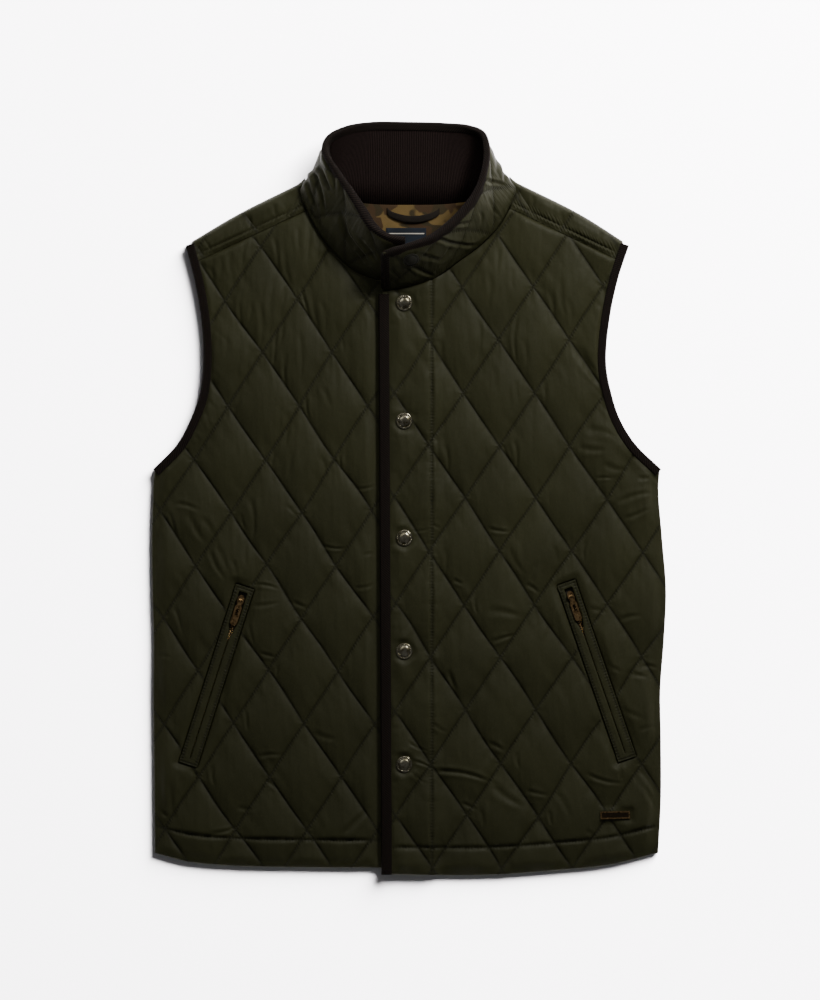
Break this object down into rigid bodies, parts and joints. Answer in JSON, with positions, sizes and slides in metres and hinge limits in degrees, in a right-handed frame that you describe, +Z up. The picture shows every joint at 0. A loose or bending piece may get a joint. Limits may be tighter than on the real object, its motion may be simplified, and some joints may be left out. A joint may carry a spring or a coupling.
{
  "type": "quilted vest",
  "caption": "Sleeveless diamond-quilted vest with a stand collar, corduroy-bound edges, snap front and slanted zip pockets, laid flat on its back.",
  "frame": {"origin": "under the middle of the vest, on the surface that it lies on", "axes": "+X to the wearer's left, +Y towards the collar, +Z up off the surface, out of the front"},
  "size_m": [0.5394, 0.7908, 0.0581],
  "materials": {
    "quilt": "dark olive quilted nylon with a soft sheen",
    "corduroy": "dark brown fine-wale corduroy",
    "snap_metal": "antique brass with a beaded ring",
    "dark_snap": "dark olive painted snap",
    "zip_tape": "dark woven tape with metal teeth",
    "aged_brass": "antique brass, bright at the edges",
    "lining": "tan and olive patterned lining",
    "label": "navy woven ribbon, bare",
    "strap": "dark woven strap"
  },
  "bodies": {
    "vest": {"back": "quilt", "front_right": "quilt", "front_left": "quilt", "collar_shell": "quilt", "pocket_right_welt": "quilt", "pocket_left_welt": "quilt", "collar_facing": "corduroy", "binding_front_edge": "corduroy", "binding_collar": "corduroy", "binding_armhole_left_front": "corduroy", "binding_armhole_left_back": "corduroy", "binding_armhole_right_front": "corduroy", "binding_armhole_right_back": "corduroy", "snap_1": "snap_metal", "snap_2": "snap_metal", "snap_3": "snap_metal", "snap_4": "snap_metal", "snap_5": "snap_metal", "snap_collar": "dark_snap", "pocket_right_zip": "zip_tape", "pocket_left_zip": "zip_tape", "pocket_right_slider": "aged_brass", "pocket_left_slider": "aged_brass", "hem_plate": "aged_brass", "neck_lining": "lining", "neck_label": "label", "hanger_loop": "strap"},
    "pull_right": {"pocket_right_pull": "aged_brass"},
    "pull_left": {"pocket_left_pull": "aged_brass"}
  },
  "joints": [
    {"name": "pull_right_hinge", "type": "hinge", "parent": "vest", "child": "pull_right", "pos_m": [-0.17639, -0.10692, 0.011], "axis": [-0.9521, 0.3057, 0], "range_deg": [0, 150]},
    {"name": "pull_left_hinge", "type": "hinge", "parent": "vest", "child": "pull_left", "pos_m": [0.16987, -0.10252, 0.011], "axis": [-0.9449, -0.3272, 0], "range_deg": [0, 150]}
  ]
}
